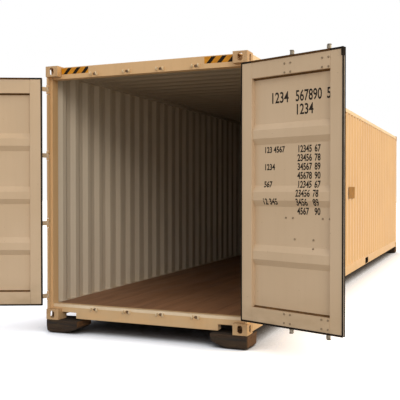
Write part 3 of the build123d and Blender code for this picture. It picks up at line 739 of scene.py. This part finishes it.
for side in sideNames:
    makeBeads(side)
print("sealant made")


# Fasteners: bolts through the leaf at the bar guides and the handle rests, seen on both faces

bolts = {
    "radius": 0.0105, "height": 0.008, "shift": 0.015, "spread": 0.034, "rise": 0.042,
    "fromTop": 0.112, "fromBase": 0.087,
    "footSpread": 0.042, "footRise": 0.006, "footLevels": (0.095, 0.830, 1.560, 2.470),
    "single": ((0.553, 1.370), (0.633, 1.370), (0.962, 1.370), (1.037, 1.370),  # along and height
               (0.654, 1.170), (0.863, 1.170), (0.863, 1.088)),
}


def makeBolts(side):
    name = sideNames[side]
    inward = doorAxes(side)[2]
    depthAt = doorSurface(side, ("door_panel", "door_rails", "door_stiles"))
    stileLow, stileHigh = doorExtent(side, f"door_stiles_{name}")
    mesh = bmesh.new()
    places = list(bolts["single"])
    for bar in barNames:
        middle = barPlace(side, bar)[0] + bolts["shift"]
        for level in (stileLow[2] + bolts["fromBase"], stileHigh[2] - bolts["fromTop"]):
            for across in (-1, 1):
                for up in (-1, 1):
                    places.append((middle + across * bolts["spread"], level + up * bolts["rise"]))
    for along, height in places:
        depth = depthAt(along, height)
        addDome(mesh, doorPoint(side, along, depth, height), inward, bolts["radius"], bolts["height"])
    footDepth = stileLow[1] - bolts["footRise"]
    for bar in barNames:
        middle = barPlace(side, bar)[0]
        for level in bolts["footLevels"]:
            for across in (-1, 1):
                spot = doorPoint(side, middle + across * bolts["footSpread"], footDepth, stileLow[2] + level)
                addDome(mesh, spot, -inward, bolts["radius"], bolts["height"])
    makePiece(f"doorBolts_{name}", mesh, coated["chromatedBoltSteel"], f"{name}_door")


for side in sideNames:
    makeBolts(side)
print("bolts made")


# Bar ends: a forged cap and a collar beyond the cam on both ends of every locking bar

barEnds = {
    "radius": 0.0205, "capHeight": 0.008, "camHeight": 0.030, "collarHeight": 0.006, "rounding": 0.0015,
    "sides": 24,
}


def makeBarEnds(side, bar):
    name = sideNames[side]
    node = frame["nodes"][f"lock_bar_{name}_{bar}"]
    levels = [vertex.co.z for vertex in node.data.vertices]
    along, depth = barPlace(side, bar)
    radius = barEnds["radius"]
    inset = barEnds["rounding"]
    mesh = bmesh.new()
    for end, up in ((min(levels), 1), (max(levels), -1)):
        collar = barEnds["capHeight"] + barEnds["camHeight"]
        for start, thick in ((0.0, barEnds["capHeight"]), (collar, barEnds["collarHeight"])):
            profile = [(radius - inset, 0), (radius, inset), (radius, thick - inset), (radius - inset, thick)]
            foot = doorPoint(side, along, depth, end + up * start)
            addTurned(mesh, foot, (0, 0, up), profile, barEnds["sides"])
    makePiece(f"barEnds_{name}_{bar}", mesh, slotFinishes["galvanised"], f"{name}_{bar}_bar")


for side in sideNames:
    for bar in barNames:
        makeBarEnds(side, bar)
print("bar ends made")


# Marks: plain digits in stencil paint on the inner face of the right door, in counting order

marks = {
    "film": 0.0006, "slice": 0.012, "advance": 0.41, "bold": 0.0024, "digitShare": 0.72, "reach": 1.4,
    "curveSteps": 3,
    "rows": [  # digits, where they start along, their base, their height and their pitch
        ("1234", 0.368, 2.467, 0.104, 0.044), ("567890", 0.658, 2.467, 0.104, 0.040),
        ("5", 1.000, 2.467, 0.100, 0.042), ("1234", 0.655, 2.342, 0.100, 0.042),
        ("123 4567", 0.293, 1.994, 0.058, 0.0265), ("1234", 0.293, 1.828, 0.058, 0.0265),
        ("567", 0.293, 1.661, 0.058, 0.0265), ("12 345", 0.293, 1.495, 0.058, 0.0265),
    ],
    "table": [("12345", "67"), ("23456", "78"), ("34567", "89"), ("45678", "90"),
              ("12345", "67"), ("23456", "78"), ("3456", "89"), ("4567", "90")],
    "columns": (0.682, 0.872), "tableTop": 1.988, "tablePitch": 0.0832,
    "tableHeight": 0.065, "digitPitch": 0.0265,
}


def addDigits(mesh, text, along, base, height, pitch, side, depthAt):
    curve = bpy.data.curves.new("digits", "FONT")
    curve.body = text
    curve.size = height / marks["digitShare"]
    narrow = pitch / (marks["advance"] * curve.size)
    curve.offset = marks["bold"]
    curve.resolution_u = marks["curveSteps"]
    holder = bpy.data.objects.new("digits", curve)
    flat = bmesh.new()
    data = bpy.data.meshes.new_from_object(holder)
    flat.from_mesh(data)
    for vertex in flat.verts:
        vertex.co = Vector((along + vertex.co.x * narrow, vertex.co.y + base, 0))
    for i in range(int(height * marks["reach"] / marks["slice"]) + 1):  # level cuts, to follow the ridges
        bmesh.ops.bisect_plane(flat, geom=flat.verts[:] + flat.edges[:] + flat.faces[:],
                               plane_co=(0, base + i * marks["slice"], 0), plane_no=(0, 1, 0))
    solid = bmesh.ops.extrude_face_region(flat, geom=flat.faces[:])
    raised = {item for item in solid["geom"] if isinstance(item, bmesh.types.BMVert)}
    for vertex in flat.verts:
        lift = marks["film"] if vertex in raised else -marks["film"] / 2
        depth = depthAt(vertex.co.x, vertex.co.y)
        vertex.co = doorPoint(side, vertex.co.x, depth + lift, vertex.co.y)
    addMesh(mesh, flat)
    bpy.data.meshes.remove(data)
    bpy.data.objects.remove(holder)
    bpy.data.curves.remove(curve)


def makeMarks(side):
    depthAt = doorSurface(side, ("door_panel", "door_rails", "door_stiles"))
    mesh = bmesh.new()
    for text, along, base, height, pitch in marks["rows"]:
        addDigits(mesh, text, along, base, height, pitch, side, depthAt)
    for i, groups in enumerate(marks["table"]):
        base = marks["tableTop"] - i * marks["tablePitch"]
        for text, along in zip(groups, marks["columns"]):
            addDigits(mesh, text, along, base, marks["tableHeight"], marks["digitPitch"], side, depthAt)
    makePiece("stencilDigits", mesh, coated["stencilEnamel"], f"{sideNames[side]}_door")


makeMarks(1)  # on the right door alone
print("stencil digits made")


# Threshold: a thin steel strip over the front edge of the sill, scuffed down to pale primer

threshold = {"width": 0.034, "drop": 0.030, "thickness": 0.0008}


def makeThreshold():
    low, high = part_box("door_sill")
    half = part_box("door_post_right")[0].x
    front = low.y - threshold["thickness"]
    back = low.y + threshold["width"]
    base = high.z - threshold["drop"]
    top = high.z + threshold["thickness"]
    section = [(front, base), (low.y, base), (low.y, high.z), (back, high.z), (back, top), (front, top)]
    mesh = bmesh.new()
    addPrism(mesh, [(-half, y, z) for y, z in section], (2 * half, 0, 0))
    makePiece("thresholdStrip", mesh, coated["scuffedPrimer"], "container")


makeThreshold()
print("threshold made")


# Rub and shade marks: brown film on the header and the sill between the ears of each keeper, where the cams
# turn: partly grease, partly painted shade of the gap between the ears

rubShadeMarks = {"halfWidth": 0.023, "halfHeight": 0.016, "film": 0.0003, "sides": 18, "wander": 0.12, "seed": 5}


def makeRubShadeMarks(beam, keepers, film):
    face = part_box(beam)[0].y
    low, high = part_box(keepers)
    level = (low.z + high.z) / 2
    mesh = bmesh.new()
    for side in sideNames:
        closed = Vector(joints[f"{sideNames[side]}_door_hinge"]["pos_m"])
        for bar in barNames:
            x = closed.x - side * barPlace(side, bar)[0]
            ring = []
            for i in range(rubShadeMarks["sides"]):
                turn = math.tau * i / rubShadeMarks["sides"]
                across, up = math.cos(turn), math.sin(turn)
                reach = 1 + rubShadeMarks["wander"] * noise.noise(Vector((x * rubShadeMarks["seed"], across, up)))
                ring.append((x + rubShadeMarks["halfWidth"] * reach * across, face,
                             level + rubShadeMarks["halfHeight"] * reach * up))
            addPrism(mesh, ring, (0, -film, 0))
    makePiece(f"greaseShadeMarks_{beam}", mesh, coated["lockGreaseShade"], "container")


makeRubShadeMarks("door_header", "header_keepers", rubShadeMarks["film"])
makeRubShadeMarks("door_sill", "sill_keepers", threshold["thickness"] + rubShadeMarks["film"])  # through the strip
print("rub marks made")


# Floor screws: rows of flat heads along the deck, and the rivets of the side plate

screws = {"radius": 0.008, "rise": 0.0008, "columns": 8, "pitch": 0.305, "inset": 0.06, "sides": 8}
rivets = {"radius": 0.007, "height": 0.003, "inset": 0.018}


def makeScrews():
    low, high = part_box("floor_deck")
    mesh = bmesh.new()
    rows = int((high.y - low.y - 2 * screws["inset"]) / screws["pitch"])
    wide = high.x - low.x - 2 * screws["inset"]
    for row in range(rows + 1):
        for column in range(screws["columns"]):
            spot = Vector((low.x + screws["inset"] + wide * column / (screws["columns"] - 1),
                           low.y + screws["inset"] + row * screws["pitch"], high.z))
            addDome(mesh, spot, (0, 0, 1), screws["radius"], screws["rise"], screws["sides"])
    makePiece("floorScrews", mesh, slotFinishes["galvanised"], "container")


def makePlateRivets():
    low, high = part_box("side_plate")
    mesh = bmesh.new()
    for y in (low.y + rivets["inset"], high.y - rivets["inset"]):
        for z in (low.z + rivets["inset"], high.z - rivets["inset"]):
            addDome(mesh, (high.x, y, z), (1, 0, 0), rivets["radius"], rivets["height"])
    makePiece("plateRivets", mesh, slotFinishes["galvanised"], "container")


makeScrews()
makePlateRivets()
print("screws and rivets made")


# Stage, light and camera

studio = {
    "floorSize": 160.0, "floorColour": "#a19d96", "floorSeen": "#ffffff", "floorShade": "#5b524a",
    "floorRoughness": 0.9, "floorGlow": 0.70, "glowColour": "#dbe4f4",
    "shadeReach": 1.2, "shade": (0.15, 0.85), "shadeSamples": 8,
    "skyColour": "#fffdf9", "skyLight": 0.80,
    "lights": {
        "keyLight": {"strength": 1.54, "colour": "#ffd988", "angle": 25.0, "from": (0.82, 0.28, 0.54)},
        "frontFill": {"strength": 0.83, "colour": "#fff4e4", "angle": 30.0, "from": (0.90, -1.0, 0.70)},
    },
}


def seenDirectly(tree):  # 1 for rays that see or mirror the backdrop, 0 for rays that light the object
    path = addNode(tree, "LightPath").outputs
    seen = addNode(tree, "Math", {0: path["Is Camera Ray"], 1: path["Is Glossy Ray"]}, operation="MAXIMUM")
    return addNode(tree, "Math", {0: seen, 1: path["Is Transmission Ray"]}, operation="MAXIMUM")


# Matt paper sweep: white where it is seen, shaded under the object, greyer for the light that it sends back
def paleFloor(name):
    material, tree = newMaterial(name)[:2]
    seen = seenDirectly(tree)
    near = addNode(tree, "AmbientOcclusion", {"Distance": studio["shadeReach"]},
                   samples=studio["shadeSamples"])
    start, full = studio["shade"]
    openness = addNode(tree, "MapRange", {"Value": near.outputs["AO"], "From Min": start, "From Max": full})
    shown = layColours(tree, studio["floorShade"], [(openness, studio["floorSeen"])])
    colour = layColours(tree, studio["floorColour"], [(seen, shown)])
    shader = addNode(tree, "BsdfPrincipled", {"Base Color": colour, "Roughness": studio["floorRoughness"],
                                              "IOR": 1.5, "Specular IOR Level": 0.0})
    clear = addNode(tree, "Math", {0: seen, 1: openness}, operation="MULTIPLY")
    glowing = addNode(tree, "Math", {0: clear, 1: studio["floorGlow"]}, operation="MULTIPLY")
    glow = addNode(tree, "Emission", {"Color": linearColour(studio["glowColour"]), "Strength": glowing})
    both = addNode(tree, "AddShader", {0: shader, 1: glow})
    addNode(tree, "OutputMaterial", {"Surface": both})
    return material


def makeStage():
    half = studio["floorSize"] / 2
    corners = [(-half, -half, 0), (half, -half, 0), (half, half, 0), (-half, half, 0)]
    mesh = bpy.data.meshes.new("studioFloor")
    mesh.from_pydata(corners, [], [(0, 1, 2, 3)])
    mesh.materials.append(paleFloor("paleFloor"))
    floor = bpy.data.objects.new("studioFloor", mesh)
    bpy.context.scene.collection.objects.link(floor)


def makeLight():
    world = bpy.data.worlds.new("studio")
    world.use_nodes = True
    tree = world.node_tree
    tree.nodes.clear()
    sky = addNode(tree, "Background", {"Color": linearColour(studio["skyColour"]),
                                       "Strength": studio["skyLight"]})
    white = addNode(tree, "Background", {"Color": (1, 1, 1, 1), "Strength": 1.0})
    chosen = addNode(tree, "MixShader", {0: seenDirectly(tree), 1: sky, 2: white})
    addNode(tree, "OutputWorld", {"Surface": chosen})
    bpy.context.scene.world = world
    for name, values in studio["lights"].items():
        sun = bpy.data.lights.new(name, "SUN")
        sun.energy = values["strength"]
        sun.color = linearColour(values["colour"])[:3]
        sun.angle = math.radians(values["angle"])
        lamp = bpy.data.objects.new(name, sun)
        lamp.rotation_euler = Vector(values["from"]).to_track_quat("Z", "Y").to_euler()
        bpy.context.scene.collection.objects.link(lamp)


view = {
    "place": (3.475, -12.718, 1.629), "turn": 22.74, "tilt": -0.79,
    "lens": 62.12, "sensor": 36.0, "reach": 500.0,
}


def makeCamera():
    data = bpy.data.cameras.new("photoView")
    data.lens = view["lens"]
    data.sensor_width = view["sensor"]
    data.clip_end = view["reach"]
    camera = bpy.data.objects.new("photoView", data)
    camera.location = view["place"]
    camera.rotation_euler = (math.radians(90 + view["tilt"]), 0, math.radians(view["turn"]))
    bpy.context.scene.collection.objects.link(camera)
    bpy.context.scene.camera = camera


makeStage()
makeLight()
makeCamera()
bpy.context.scene.view_settings.view_transform = "Standard"
print("stage, light and camera made")
